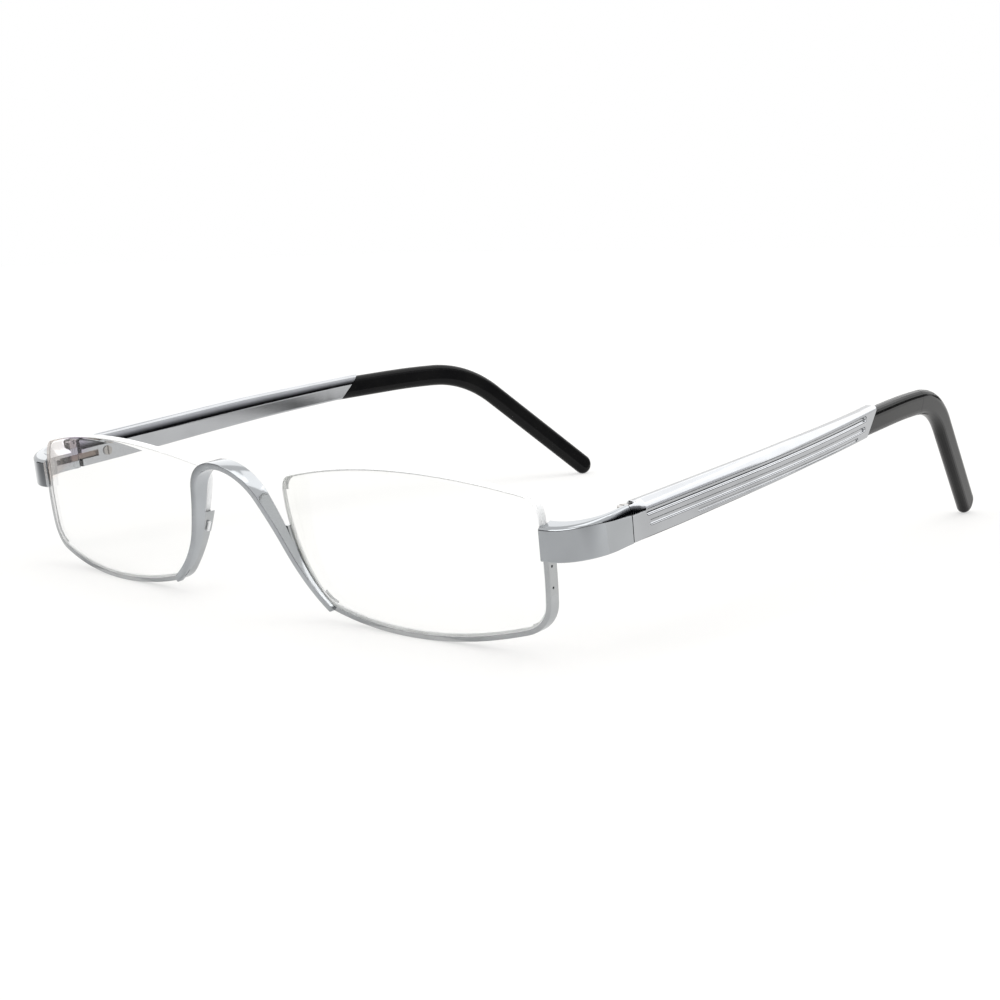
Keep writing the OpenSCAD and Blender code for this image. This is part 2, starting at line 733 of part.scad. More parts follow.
// Straight runs and bends. Every other piece of the path is slimmer by a hair and reaches a little way
// into its neighbours, so that they all make one solid
lap = 0.05;
hair = 0.01;
module run(len) rotate([0, -90, -90]) linear_extrude(len) children();
module after_run(len) translate([0, len, 0]) children();
module bend(r, a, early = 0) translate([0, 0, -r]) rotate([0, -90, 0]) rotate([0, 0, -early])
    rotate_extrude(angle = a + 2 * early, $fn = curve_fn / 2) translate([r, 0]) children();
module after_bend(r, a) translate([0, 0, -r]) rotate([-a, 0, 0]) translate([0, 0, r]) children();

// A section swept along the tip's centre line, from back_len before its start to cut_short before its end
module tip_path(w, t, back_len, cut_short, cap = false) {
    translate(tip_start) rotate([0, 0, arm_turn]) rotate([0, tip_lean, 0]) rotate([-tip_fall, 0, 0]) {
        translate([0, -back_len, 0]) run(tip_lead + back_len) stadium(w, t);
        after_run(tip_lead) {
            bend(sweep_r, sweep_a, lap / sweep_r * 180 / PI) stadium(w - 2 * hair, t - 2 * hair);
            after_bend(sweep_r, sweep_a) {
                bend(bend_r, bend_a) stadium(w, t);
                after_bend(bend_r, bend_a) {
                    translate([0, -lap, 0]) run(drop_len - cut_short + 2 * lap)
                        stadium(w - 2 * hair, t - 2 * hair);
                    if (cap) after_run(drop_len) bend(0, 180) half_stadium(w, t);
                }
            }
        }
    }
}

module tip_core() {
    steel("gray") at_hinge() tip_path(core_d, core_d, core_in, core_short);
}

module temple_tip() {
    color([0.05, 0.05, 0.055]) at_hinge() difference() {
        tip_path(tip_w, tip_t, core_in, 0, cap = true);
        before_joint();
        tip_path(core_d, core_d, core_in, core_short);
    }
}

bridge();
side(-1) lens();  // left_lens
side(1) lens();  // right_lens
side(-1) rim();  // left_rim
side(1) rim();  // right_rim
side(-1) rim_liner();  // left_rim_liner
side(1) rim_liner();  // right_rim_liner
side(-1) lens_thread();  // left_lens_thread
side(1) lens_thread();  // right_lens_thread
side(-1) endpiece();  // left_endpiece
side(1) endpiece();  // right_endpiece
side(-1) hinge_screw();  // left_hinge_screw
side(1) hinge_screw();  // right_hinge_screw
side(-1) hinge_slider();  // left_hinge_slider
side(1) hinge_slider();  // right_hinge_slider
side(-1) hinge_spring();  // left_hinge_spring
side(1) hinge_spring();  // right_hinge_spring
side(-1) rod_nut();  // left_rod_nut
side(1) rod_nut();  // right_rod_nut
side(-1) hinge_stop();  // left_hinge_stop
side(1) hinge_stop();  // right_hinge_stop
side(-1) stop_screw();  // left_stop_screw
side(1) stop_screw();  // right_stop_screw
side(-1) temple();  // left_temple
side(1) temple();  // right_temple
side(-1) tip_core();  // left_tip_core
side(1) tip_core();  // right_tip_core
side(-1) temple_tip();  // left_temple_tip
side(1) temple_tip();  // right_temple_tip
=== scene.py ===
# %% [markdown]
# # Half-rim reading glasses
# The solids come from the CAD model as a fixed frame: every node stays in its place, in metres. This file
# dresses them. It models the pieces whose surface shows most, gives every piece a material, and then sets
# the floor, the lamps and the camera.

# %% Load the frame
import math

import bpy
import bmesh
from mathutils import Matrix, Vector


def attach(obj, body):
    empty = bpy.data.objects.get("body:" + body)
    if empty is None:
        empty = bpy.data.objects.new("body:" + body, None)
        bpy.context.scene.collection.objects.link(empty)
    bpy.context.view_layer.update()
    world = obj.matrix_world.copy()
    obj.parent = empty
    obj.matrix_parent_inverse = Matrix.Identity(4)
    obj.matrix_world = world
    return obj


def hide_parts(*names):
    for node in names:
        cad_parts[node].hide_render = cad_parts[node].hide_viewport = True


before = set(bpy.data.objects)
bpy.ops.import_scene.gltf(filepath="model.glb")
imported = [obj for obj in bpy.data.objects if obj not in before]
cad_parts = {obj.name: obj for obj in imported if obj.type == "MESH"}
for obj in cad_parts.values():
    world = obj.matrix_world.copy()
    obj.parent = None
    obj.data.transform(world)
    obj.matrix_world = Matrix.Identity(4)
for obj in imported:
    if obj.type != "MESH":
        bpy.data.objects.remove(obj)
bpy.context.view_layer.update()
bpy.ops.object.select_all(action="DESELECT")
MM = 0.001
SIDES = {"right": 1, "left": -1}

# %% [markdown]
# ## Writing materials
# A shader is a sum of nodes. One small class wraps a socket, so that an expression on sockets adds the
# Math nodes by itself, and one method adds any other node with its settings and inputs.


# %% Sockets as numbers
class Sock:
    def __init__(self, tree, out):
        self.tree = tree
        self.out = out

    def math(self, operation, *values):
        return add(self.tree, "ShaderNodeMath", {"operation": operation}, [self, *values])

    def __add__(self, other):
        return self.math("ADD", other)

    __radd__ = __add__

    def __mul__(self, other):
        return self.math("MULTIPLY", other)

    __rmul__ = __mul__

    def __sub__(self, other):
        return self.math("SUBTRACT", other)

    def __rsub__(self, other):
        return (self * -1) + other


def add(tree, kind, settings=None, values=(), out=0):
    node = tree.nodes.new(kind)
    for key, value in (settings or {}).items():
        setattr(node, key, value)
    named = values.items() if isinstance(values, dict) else enumerate(values)
    for key, value in named:
        if isinstance(value, Sock):
            tree.links.new(value.out, node.inputs[key])
        else:
            node.inputs[key].default_value = value
    return Sock(tree, node.outputs[out])


def step(value, low, high):
    settings = {"interpolation_type": "SMOOTHSTEP", "clamp": True}
    inputs = {"Value": value, "From Min": low, "From Max": high}
    return add(value.tree, "ShaderNodeMapRange", settings, inputs)


def mix(fac, a, b):
    a, b = [(*c, 1) if isinstance(c, tuple) else c for c in (a, b)]
    return add(fac.tree, "ShaderNodeMix", {"data_type": "RGBA"}, {0: fac, 6: a, 7: b}, out=2)


def place_of(tree):
    point = add(tree, "ShaderNodeTexCoord", out="Object")
    axes = add(tree, "ShaderNodeSeparateXYZ", values=[point])
    return point, [Sock(tree, axes.out.node.outputs[i]) for i in range(3)]


def noise(point, scale, detail, stretch=(1, 1, 1)):
    turned = add(point.tree, "ShaderNodeMapping", values={"Vector": point, "Scale": stretch})
    return add(point.tree, "ShaderNodeTexNoise", values={"Vector": turned, "Scale": scale, "Detail": detail})


def new_material(name, **constants):
    made = bpy.data.materials.new(name)
    made.use_nodes = True
    tree = made.node_tree
    shader = tree.nodes["Principled BSDF"]
    for key, value in constants.items():
        shader.inputs[key.replace("_", " ")].default_value = value
    return made, tree, shader


def feed(tree, sock, shader, name):
    tree.links.new(sock.out, shader.inputs[name])


def bump(tree, shader, height, distance, strength):
    made = add(tree, "ShaderNodeBump", values={"Strength": strength, "Distance": distance, "Height": height})
    feed(tree, made, shader, "Normal")


print("shader helpers ready")

# %% [markdown]
# ## Metals
# The front and the arms are plated metal, polished and then faintly brushed along their length, so a
# reflection stays sharp but its edges soften. The colour is a middle grey: most of what the metal shows
# is the white room. A fine noise moves the roughness a little, as handling does.


# %% Plated metal
def plated(name, tint, rough, wear, brushed=(1, 1, 1)):
    made, tree, shader = new_material(name, Metallic=1.0)
    point, _ = place_of(tree)
    cloud = noise(point, 160, 2)
    lines = noise(point, 900, 4, brushed)
    handled = tuple(c * 0.93 for c in tint)
    feed(tree, mix(step(cloud, 0.35, 0.7), tint, handled), shader, "Base Color")
    feed(tree, lines * wear + cloud * wear + (rough - wear), shader, "Roughness")
    bump(tree, shader, lines, 0.000004, 0.25)
    return made


METAL = {
    "bridge": plated("bridge_plating", (0.44, 0.455, 0.47), 0.11, 0.03, (1, 0.15, 0.15)),
    "rim": plated("rim_plating", (0.45, 0.46, 0.465), 0.17, 0.05),
    "endpiece": plated("endpiece_plating", (0.42, 0.435, 0.45), 0.09, 0.03),
    "temple": plated("temple_plating", (0.45, 0.46, 0.475), 0.10, 0.03, (1, 0.1, 1)),
    "screw": plated("screw_steel", (0.40, 0.385, 0.37), 0.22, 0.06),
    "hinge": plated("hinge_steel", (0.26, 0.21, 0.18), 0.30, 0.08),
    "spring": plated("spring_steel", (0.30, 0.29, 0.28), 0.35, 0.08),
    "core": plated("core_wire", (0.42, 0.42, 0.41), 0.30, 0.06),
}
print("metals", sorted(METAL))

# %% [markdown]
# ## Black acetate
# The tips are glossy black acetate. Real acetate is not a pure black: it is a very dark grey under a
# clear polish, with soft buffing marks that only show in the highlight.


# %% Tip plastic
def acetate(name):
    made, tree, shader = new_material(name, Specular_IOR_Level=0.10)
    point, _ = place_of(tree)
    cloud = noise(point, 120, 3)
    marks = noise(point, 500, 3, (1, 0.3, 0.3))
    black = mix(step(cloud, 0.3, 0.7), (0.006, 0.006, 0.0065), (0.009, 0.009, 0.009))
    feed(tree, black, shader, "Base Color")
    feed(tree, marks * 0.06 + cloud * 0.04 + 0.12, shader, "Roughness")
    bump(tree, shader, cloud, 0.00002, 0.15)
    return made


ACETATE = acetate("tip_acetate")
print("tip", ACETATE.name)

# %% [markdown]
# ## Lens, thread and liner
# The lens is clear resin, thinly coated. Where a coated lens mirrors something dark it turns purple; here
# that is a painted reflection, a purple tint painted into the left lens colour where it lies over the arm,
# before the hinge.
# Towards the nose the resin takes a breath of yellow. A real lens bends light more, but a lower index keeps
# what is behind it in its place. The cut edge is ground and looks white. The nylon thread and the liner are
# milky.


# %% Clear pieces
def between(value, low, low_end, high, high_end):
    return step(value, low, low_end) * (1 - step(value, high, high_end))


def lens_resin(name, coat, nose_tint):
    made, tree, shader = new_material(name, Roughness=0.0, IOR=1.25, Transmission_Weight=1.0)
    point, (x, _, z) = place_of(tree)
    streak = noise(point, 60, 2)
    clear = mix(step(streak, 0.3, 0.7), (0.985, 0.99, 0.985), (0.995, 0.995, 0.99))
    by_nose = between(x, 0, 0.004, 0.011, 0.018)
    tinted = mix(by_nose * nose_tint, clear, (0.985, 0.99, 0.96))
    # painted reflection: the left lens colour turns purple above a slanted line, where the dark arm lies
    # behind it
    painted_reflection_mask = step(z - x * 0.42 - 0.0392, 0, 0.0012) * (1 - step(x, -0.043, -0.040))
    painted_purple_reflection = mix(step(x, -0.054, -0.046), (0.93, 0.85, 0.80), (0.85, 0.77, 0.87))
    feed(tree, mix(painted_reflection_mask * coat, tinted, painted_purple_reflection), shader, "Base Color")
    return made


def ground_resin(name):
    made, tree, shader = new_material(name, Roughness=0.55, IOR=1.5)
    point, _ = place_of(tree)
    dust = noise(point, 700, 3)
    white = mix(step(dust, 0.3, 0.7), (0.97, 0.975, 0.975), (0.995, 0.995, 0.995))
    feed(tree, white, shader, "Base Color")
    return made


def nylon(name, tint, rough):
    made, tree, shader = new_material(name, IOR=1.53)
    point, _ = place_of(tree)
    cloud = noise(point, 300, 2)
    feed(tree, mix(step(cloud, 0.3, 0.7), tint, tuple(c * 0.97 for c in tint)), shader, "Base Color")
    feed(tree, cloud * 0.1 + rough, shader, "Roughness")
    return made


# the second argument is the share of the painted purple reflection over the left arm
LENS = lens_resin("lens_resin", coat=0.8, nose_tint=0.6)
GROUND = ground_resin("ground_edge")
THREAD = nylon("nylon_thread", (0.97, 0.98, 0.98), 0.25)
LINER = nylon("nylon_liner", (0.93, 0.94, 0.93), 0.3)
print("clear", [m.name for m in (LENS, GROUND, THREAD, LINER)])

# %% [markdown]
# ## Sizes that the new pieces share with the solids
# The glasses are drawn upright, with x across the face, y back along the arms and z up, in millimetres.
# They lean back when they stand, so one function turns a drawn point to its place in the scene: it leans
# the point, moves the middle of the glasses over the origin, and sets the lowest point on the floor. The
# left side is the right one mirrored.

# %% Stand the drawing up
LEAN = math.radians(6)
MID_Y = 69.9386
LIFT = -0.093757
PIN = Vector((65.85, 14.6236, 17.1))


def stand(side, x, y, z):
    back = y * math.cos(LEAN) - z * math.sin(LEAN) - MID_Y
    up = y * math.sin(LEAN) + z * math.cos(LEAN) + LIFT
    return Vector((side * x, back, up)) * MM


print("hinge pin, right", [round(v / MM, 2) for v in stand(1, *PIN)])

# %% [markdown]
# ## Sweeping a section
# Strips, arms and lenses are all one section carried along a path. By hand this is a filled circle whose
# corners are moved to the section, then one extrude for each step of the path. The function does just
# that. Each extruded corner starts on the old one, so it is matched to it by place before it moves on.


# %% Sweep
def edit_mode(on):
    bpy.ops.object.mode_set(mode="EDIT" if on else "OBJECT")


def sweep(name, rings):
    count = len(rings[0])
    bpy.ops.mesh.primitive_circle_add(vertices=count, radius=MM, fill_type="NGON", location=(0, 0, 0))
    made = bpy.context.active_object
    made.name = name
    edit_mode(True)
    mesh = bmesh.from_edit_mesh(made.data)
    mesh.verts.ensure_lookup_table()
    for corner, point in zip(mesh.verts, rings[0]):
        corner.co = point
    for before, ring in zip(rings, rings[1:]):
        bpy.ops.mesh.extrude_region_move()
        mesh = bmesh.from_edit_mesh(made.data)
        left = list(range(count))
        for corner in [v for v in mesh.verts if v.select]:
            near = min(left, key=lambda i: (before[i] - corner.co).length_squared)
            left.remove(near)
            corner.co = ring[near]
    bpy.ops.mesh.select_all(action="SELECT")
    bpy.ops.mesh.normals_make_consistent(inside=False)
    edit_mode(False)
    made.select_set(False)
    print(name, len(made.data.polygons), "faces")
    return made


def finish_piece(made, paint, nodes, body, smooth):
    made.data.materials.clear()
    made.data.materials.append(paint)
    made.select_set(True)
    bpy.context.view_layer.objects.active = made
    bpy.ops.object.shade_smooth_by_angle(angle=math.radians(smooth))
    made.select_set(False)
    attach(made, body)
    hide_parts(*nodes)


def apply_modifier(made, name, kind, **settings):
    modifier = made.modifiers.new(name, kind)
    for key, value in settings.items():
        setattr(modifier, key, value)
    bpy.context.view_layer.objects.active = made
    made.select_set(True)
    bpy.ops.object.modifier_apply(modifier=name)
    made.select_set(False)


def arc(centre, radius, start, stop, count):
    turn = [math.radians(start + (stop - start) * i / count) for i in range(count + 1)]
    return [Vector((centre[0] + radius * math.cos(a), centre[1] + radius * math.sin(a))) for a in turn]


# %% [markdown]
# ## Bridge
# The bridge is one strip of metal bent over the nose: a crown, a straight run down each leg, and a lower
# part that curves out to the rim. It is broad at the crown and narrow at the feet, because its front and
# back edges are two large arcs seen from the side. The sweep's section is the strip's four corners. A
# bevel then rounds the long edges, which is what catches the light.

# %% Bridge strip
TOP, STRIP = 24.6, 1.15
CROWN_R, CROWN_A = 9.0, 25.0
LEG_RUN, LEG_R, LEG_TURN = 8.6, 22.0, 31.0
FRONT_R, BACK, BACK_R, BACK_Z = 70.0, 1.22, 103.0, 3.0
CROWN = Vector((0, TOP - CROWN_R))
LEG = CROWN + (CROWN_R + LEG_R) * Vector((math.cos(math.radians(CROWN_A)), math.sin(math.radians(CROWN_A))))
LEG += LEG_RUN * Vector((math.sin(math.radians(CROWN_A)), -math.cos(math.radians(CROWN_A))))
EDGE_ROUND = 0.19
LENS_R, LENS_MID = 128.0, Vector((26.95, 12.0))
RIM_TOP = 14.4


def share_of(value, low, high):
    return min(1.0, max(0.0, (value - low) / (high - low)))


def layer_y(x, z, depth=0.0):
    return LENS_R - math.sqrt((LENS_R - depth) ** 2 - (x - LENS_MID.x) ** 2 - (z - LENS_MID.y) ** 2)


def strip_side(d):
    low = arc(LEG, LEG_R + d, 180 + CROWN_A + LEG_TURN, 180 + CROWN_A, 22)
    top = arc(CROWN, CROWN_R - d, CROWN_A, 90, 26)
    run = [low[-1].lerp(top[0], i / 6) for i in range(1, 6)]
    half = low + run + top
    return half + [Vector((-p.x, p.y)) for p in reversed(half[:-1])]


def strip_front(z):
    return -FRONT_R + math.sqrt(FRONT_R**2 - z**2)


def strip_back(z):
    return BACK - BACK_R + math.sqrt(BACK_R**2 - (z - BACK_Z) ** 2)


def rim_side_back(x, z):
    free = share_of(z, RIM_TOP, RIM_TOP + 1)
    on_rim = min(strip_back(z), layer_y(abs(x), z))
    return on_rim + (strip_back(z) - on_rim) * free


rings = []
for outer, inner in zip(strip_side(0), strip_side(STRIP)):
    rings.append([
        stand(1, outer.x, strip_front(outer.y), outer.y),
        stand(1, outer.x, rim_side_back(outer.x, outer.y), outer.y),
        stand(1, inner.x, strip_back(inner.y), inner.y),
        stand(1, inner.x, strip_front(inner.y), inner.y),
    ])
bridge = sweep("bridge_strip", rings)
apply_modifier(bridge, "edges", "BEVEL", width=EDGE_ROUND * MM, segments=4, limit_method="ANGLE",
               angle_limit=math.radians(40))
finish_piece(bridge, METAL["bridge"], ["bridge"], "front", 40)

# %% [markdown]
# ## Lenses
# A lens is a thin dish. Its outline is four large arcs with four small corners, and both faces are parts
# of spheres. Rings of the outline, drawn in towards the middle and each set on its sphere, give smooth
# faces. The ground edge is a band of its own: it is cut, grooved for the thread, and white. It goes a
# hair into the rim, because two faces on the same place flicker.

# %% Lens outline
EDGE_R = [76, 60, 98, 28.7]
CORNER_R = [4.5, 3.5, 2.3, 5.5]
EDGE_C = [Vector(p) for p in ((36.45, 76.75), (-0.65, 12.5), (34.55, -72.95), (37.85, 23.6))]


def corner_centre(i):
    j, f = (i + 1) % 4, CORNER_R[i]
    q1, q2 = EDGE_R[i] - f, EDGE_R[j] - f
    d = (EDGE_C[j] - EDGE_C[i]).length
    e = (EDGE_C[j] - EDGE_C[i]) / d
    along = (q1 * q1 - q2 * q2 + d * d) / (2 * d)
    return EDGE_C[i] + along * e + math.sqrt(q1 * q1 - along * along) * Vector((-e.y, e.x))


def lens_edge(g):
    points = []
    for i in range(4):
        c, n = EDGE_C[i], EDGE_C[(i + 1) % 4]
        was, now = corner_centre((i + 3) % 4), corner_centre(i)
        for centre, radius, a, b, count in (
            (c, EDGE_R[i] + g, was - c, now - c, 34 if i % 2 == 0 else 16),
            (now, CORNER_R[i] + g, now - c, now - n, 10),
        ):
            a0, a1 = math.degrees(math.atan2(a.y, a.x)), math.degrees(math.atan2(b.y, b.x))
            points += arc(centre, radius, a0, a1 if a1 > a0 else a1 + 360, count)[:-1]
    return points


print("lens outline", len(lens_edge(0)), "points")


# %% Lens rings
LENS_T, GROOVE_W, GROOVE_D = 1.6, 0.56, 0.4
GROUND_W, GROUND_REACH, SINK, LIP = 0.65, 0.4, 0.03, 0.1
INWARD = (0.04, 0.2, 0.4, 0.6, 0.75, 0.87, 0.95)


def lens_ring(side, g, depth, scale=1.0):
    ring = []
    for p in lens_edge(g):
        q = LENS_MID + (p - LENS_MID) * scale
        ring.append(stand(side, q.x, layer_y(q.x, q.y, depth), q.y))
    return ring


def lens_piece(name, side):
    wall = (LENS_T - GROOVE_W) / 2
    rings = [lens_ring(side, -GROUND_W, LENS_T, s) for s in (*INWARD, 1.0)]
    for g, depth in (
        (-LIP, LENS_T), (SINK, LENS_T - LIP), (SINK, LENS_T - wall), (-GROOVE_D, LENS_T - wall),
        (-GROOVE_D, wall), (SINK, wall), (SINK, LIP), (-LIP, 0),
    ):
        rings.append(lens_ring(side, g, depth))
    rings += [lens_ring(side, -LIP, 0, s) for s in reversed(INWARD)]
    return sweep(name, rings)


# %% Two lenses with their ground edges
facing = (stand(1, 0, 1, 0) - stand(1, 0, 0, 0)).normalized()
for word, side in SIDES.items():
    lens = lens_piece(word + "_lens_resin", side)
    finish_piece(lens, LENS, [word + "_lens"], "front", 40)
    lens.data.materials.append(GROUND)
    band = lens_ring(side, -GROUND_W / 2, LENS_T)
    ground = 0
    for face in lens.data.polygons:
        back = face.normal.dot(facing)
        gap = math.sqrt(min((point - face.center).length_squared for point in band))
        if abs(back) < 0.8 or (back > 0 and gap < GROUND_REACH * MM):
            face.material_index = 1
            ground += 1
    print(lens.name, "ground faces", ground)

# %% [markdown]
# ## Arms
# Each arm is a flat bar with a rounded upper edge, a slope on the inside, and three long grooves milled
# into the outer face. The grooves stop in round ends. The section has a few corners for every groove, and
# these sink where a groove runs, so the whole bar is still one sweep. The last rings lean, because the
# joint with the tip is cut on a slant. The hinge's cut-outs are then taken away with booleans.

# %% Arm sizes
PIN_IN, PIN_OUT = 1.2, 1.8
ARM_UP, ARM_DOWN, ARM_DOWN_BACK = 2.75, 2.7, 2.2
TAPER_START, TAPER_END = 10, 45
TOP_FALL, TOP_FALL_RUN = 0.5, 30
ARM_TURN_R, ARM_STRAIGHT = 328.0, 27.5
TIP_Y, JOINT_BACK, JOINT_SLANT = 70.682, 2.4, 5.6
ARM_END, SLANT_START = TIP_Y - JOINT_BACK, 66.3
SLANT = JOINT_SLANT / (ARM_UP + ARM_DOWN_BACK)
SPLIT = 0.7
EDGE_WIDE, EDGE_TALL = 0.7, 2.4
SHOULDER_SLOPE, SHOULDER_BULGE = 0.95, 0.12
BEVEL, CREASE, SLOPE_TILTS = 0.34, 0.5, (26, 4)
GROOVES = [
    {"h": (1.0, 1.15), "y": (2.4, 66.0), "w": 0.95, "d": 0.35},
    {"h": (-0.6, -0.45), "y": (3.0, 65.3), "w": 0.8, "d": 0.32},
    {"h": (-1.72, -1.6), "y": (14.4, 62.3), "w": 0.5, "d": 0.22},
]
LOW_ROUND = ((0, 0.36), (0, 0.3), (0.09, 0.09), (0.3, 0))
GROOVE_PROFILE = (
    (-1.3, 0), (-1.2, 0.02), (-1.08, 0.09), (-0.96, 0.24), (-0.86, 0.46), (-0.68, 0.78), (-0.42, 0.97),
    (-0.1, 1), (0.2, 1), (0.5, 0.9), (0.75, 0.66), (0.92, 0.3), (1, 0),
)


def on_arm(side, x, y, h):
    if y > ARM_STRAIGHT:
        r = ARM_TURN_R - PIN_OUT + x
        x = PIN_OUT - ARM_TURN_R + math.sqrt(r * r - (y - ARM_STRAIGHT) ** 2)
    return stand(side, PIN.x + x, PIN.y + y, PIN.z + h)


def top_at(y):
    return ARM_UP - TOP_FALL * max(0.0, (y - TIP_Y + TOP_FALL_RUN) / TOP_FALL_RUN)


def low_at(y):
    return -ARM_DOWN + (ARM_DOWN - ARM_DOWN_BACK) * share_of(y, TAPER_START, TAPER_END)


print("arm from", -SPLIT, "to", ARM_END)


# %% Arm section
def groove_height(groove, y):
    start, end = groove["h"]
    return start + (end - start) * share_of(y, *groove["y"])


def groove_points(groove, y):
    first, last = groove["y"]
    half = groove["w"] / 2
    h = groove_height(groove, y)
    reach = min(y - first, last - y)
    opening = 0.0 if reach <= 0 else math.sqrt(1 - (1 - min(1.0, reach / half)) ** 2)
    wide, deep = half * max(0.1, opening), groove["d"] * opening
    return [(PIN_OUT - deep * d, h + wide * u) for u, d in GROOVE_PROFILE]


def shoulder(y, top):
    """Upper outer edge: a tall soft round by the hinge, and further back one slope above the first groove"""
    foot = groove_height(GROOVES[0], y) + GROOVES[0]["w"] / 2 + 0.06
    by_hinge = 1 - share_of(y, 0.3, 2.7)
    start = math.degrees(math.asin((foot - top + EDGE_TALL) / EDGE_TALL))
    points = []
    for i in range(9):
        up = i / 8
        turn = math.radians(start + (90 - start) * up)
        round_x = PIN_OUT - EDGE_WIDE + EDGE_WIDE * math.cos(turn)
        soft = Vector((round_x, top - EDGE_TALL + EDGE_TALL * math.sin(turn)))
        back = (top - foot) * SHOULDER_SLOPE * (up - SHOULDER_BULGE * math.sin(math.pi * up))
        slope = Vector((PIN_OUT - back, foot + (top - foot) * up))
        points.append(slope.lerp(soft, by_hinge))
    return [(p.x, p.y) for p in points]


def inner_slope(top):
    """The inside, from the top down: a narrow bevel, then a long round that steepens to a crease"""
    rows = 8
    tall = (top - BEVEL - CREASE) / rows
    steep, flat = SLOPE_TILTS
    points = [Vector((-PIN_IN, CREASE))]
    for i in range(rows):
        tilt = flat + (steep - flat) * (i + 0.5) / rows
        points.append(points[-1] + Vector((tall * math.tan(math.radians(tilt)), tall)))
    edge = points[-1] + Vector((BEVEL, BEVEL))
    points += [edge + Vector((-0.04, -0.04)), edge + Vector((0.06, 0))]
    return [(p.x, p.y) for p in reversed(points)]


def arm_ring(side, y, lean):
    top, low = top_at(y), low_at(y)
    points = [(-PIN_IN + across, low + up) for across, up in LOW_ROUND]
    points += [(PIN_OUT - across, low + up) for across, up in reversed(LOW_ROUND)]
    for groove in reversed(GROOVES):
        points += groove_points(groove, y)
    points += shoulder(y, top) + inner_slope(top) + [(-PIN_IN, CREASE - 0.08)]
    return [on_arm(side, x, y + lean * h * SLANT, h) for x, h in points]


print("arm section", len(arm_ring(1, 0, 0)), "corners")


# %% Arm path
def arm_steps():
    groove_end = (0.0, 0.04, 0.1, 0.18, 0.28, 0.4, 0.52)
    steps = {-SPLIT, 0.0, 1.3, 1.8} | {5.5 + 2.2 * i for i in range(25)}
    for groove in GROOVES:
        first, last = groove["y"]
        steps |= {round(first + n, 3) for n in groove_end} | {round(last - n, 3) for n in groove_end}
    return sorted(s for s in steps if s < ARM_END - 0.05) + [ARM_END]


def arm_rings(side):
    return [arm_ring(side, y, max(0.0, (y - SLANT_START) / (ARM_END - SLANT_START))) for y in arm_steps()]


print("arm steps", len(arm_steps()))


# %% [markdown]
# ## The hinge's cut-outs
# A cutter is an outline swept along one axis. Booleans fail now and then where two faces lie on one
# plane, and they then leave a cutter's plates behind, so each cut-out is one cutter, and no face of it is
# on the same plane as a face or a row of edges of the piece.


# %% Cutters
def cutter(name, side, outline, axis, low, high):
    """An outline in the two other axes, measured from the pin, swept along one axis"""
    rings = []
    for end in (low, high):
        ring = []
        for p in outline:
            at = Vector((end, *p)) if axis == "x" else Vector((*p, end))
            ring.append(stand(side, *(PIN + at)))
        rings.append(ring)
    return sweep(name, rings)


def disc(radius, centre=(0, 0)):
    return arc(centre, radius, 0, 360, 48)[:-1]


def boolean(made, tool, operation):
    apply_modifier(made, tool.name, "BOOLEAN", object=tool, operation=operation, solver="EXACT")
    bpy.data.objects.remove(tool)


def cut(made, tool):
    boolean(made, tool, "DIFFERENCE")


def join_on(made, tool):
    boolean(made, tool, "UNION")


TONGUE_LOW, TONGUE_TOP = -1.3, -0.1
EAR_R, EAR_ROOM, SEAT = 1.2, 0.05, 1.2
PAST = 9
print("tongue slot", TONGUE_LOW, "to", TONGUE_TOP)

# %% Two arms with their cut-outs
NOTCH_R, NOTCH_BACK = EAR_R + EAR_ROOM, 1.31
NOTCH = [(-PAST, -1), (NOTCH_R, -1), *arc((0, 0), NOTCH_R, 3, 90, 12), (0, NOTCH_BACK), (-PAST, NOTCH_BACK)]
SLOT_IN, SLOT_OUT, SLOT_START, SLOT_END, WINDOW_END = -0.65, 0.95, 0.05, 14.9, 4.9
SLOT = [
    (-PAST, SLOT_START), (SLOT_OUT, SLOT_START), (SLOT_OUT, SLOT_END), (SLOT_IN, SLOT_END),
    (SLOT_IN, WINDOW_END), (-PAST, WINDOW_END),
]
SCREW_R, SCREW_AT, SCREW_FLOOR = 0.9, (6.9, -0.7), -0.95
for word, side in SIDES.items():
    arm = sweep(word + "_arm_bar", arm_rings(side))
    cut(arm, cutter("cut_notch", side, NOTCH, "z", -PAST, PAST))
    cut(arm, cutter("cut_slot", side, SLOT, "z", TONGUE_LOW, TONGUE_TOP))
    cut(arm, cutter("cut_screw", side, disc(SCREW_R, SCREW_AT), "x", -PAST, SCREW_FLOOR))
    finish_piece(arm, METAL["temple"], [word + "_temple"], word + "_arm", 26)
    print(arm.name, "after cuts", len(arm.data.polygons))

# %% [markdown]
# ## Endpieces
# The endpiece carries the arm's section on round the corner to the front of the lens. From the split it
# runs straight, turns a quarter, and stops at the lens. Its top and underside draw together towards the
# front. The rounded upper edge mirrors the dark wall as one black line, so it is kept all the way round.
# The ear round the pin is joined on, and the seat of the screw's head, the tongue's slot and the pocket
# for the rim are cut.

# %% Endpiece sections
END_R, END_RUN, END_FRONT = 7.4, 3.65, 0.9
END_FALL, END_LOW_FALL, SLOPE_LOW, EDGE_LOW = 1.4, 0.8, 0.5, 0.45
EDGE_FALL_RUN, EDGE_FALL_POWER = 8, 1.4
SLOPE_MEETS = 0.7
SPLIT_GAP = 0.15
END_START = -SPLIT - SPLIT_GAP


def end_heights(y):
    forward = max(0.0, -y / (END_R + END_RUN))
    return ARM_UP - END_FALL * forward**2, -ARM_DOWN - END_LOW_FALL * forward**2


